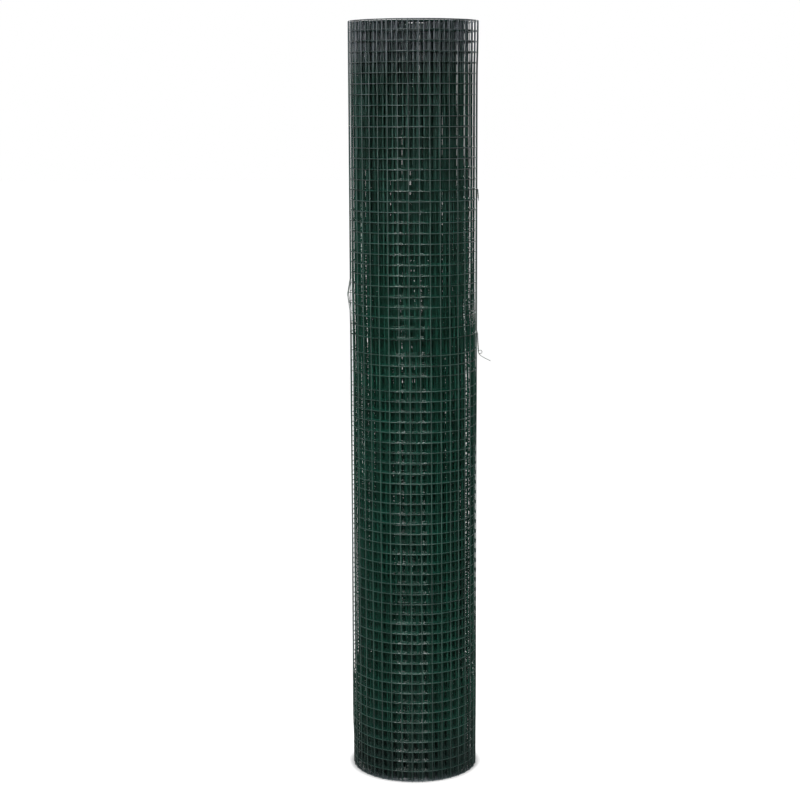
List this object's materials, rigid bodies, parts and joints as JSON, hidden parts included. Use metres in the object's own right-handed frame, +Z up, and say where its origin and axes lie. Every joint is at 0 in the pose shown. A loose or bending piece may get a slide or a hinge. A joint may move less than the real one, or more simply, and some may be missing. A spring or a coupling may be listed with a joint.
{
  "type": "roll of wire fencing",
  "caption": "Upright roll of green coated, square-meshed welded wire fencing with an open bore, held by twisted tie wires around its outer turn.",
  "frame": {"origin": "on the roll's axis at its lower end, which stands on the floor", "axes": "+Z up along the roll's axis, -Y towards the viewer, +X to the side where the ties are twisted"},
  "size_m": [0.1876, 0.1696, 1],
  "materials": {
    "green_coated_wire": "satin plastic coat over galvanised steel wire",
    "tie_wire": "green plastic coat over steel wire"
  },
  "bodies": {
    "root": {"mesh_roll": "green_coated_wire", "upper_tie": "tie_wire", "middle_tie": "tie_wire"}
  },
  "joints": []
}
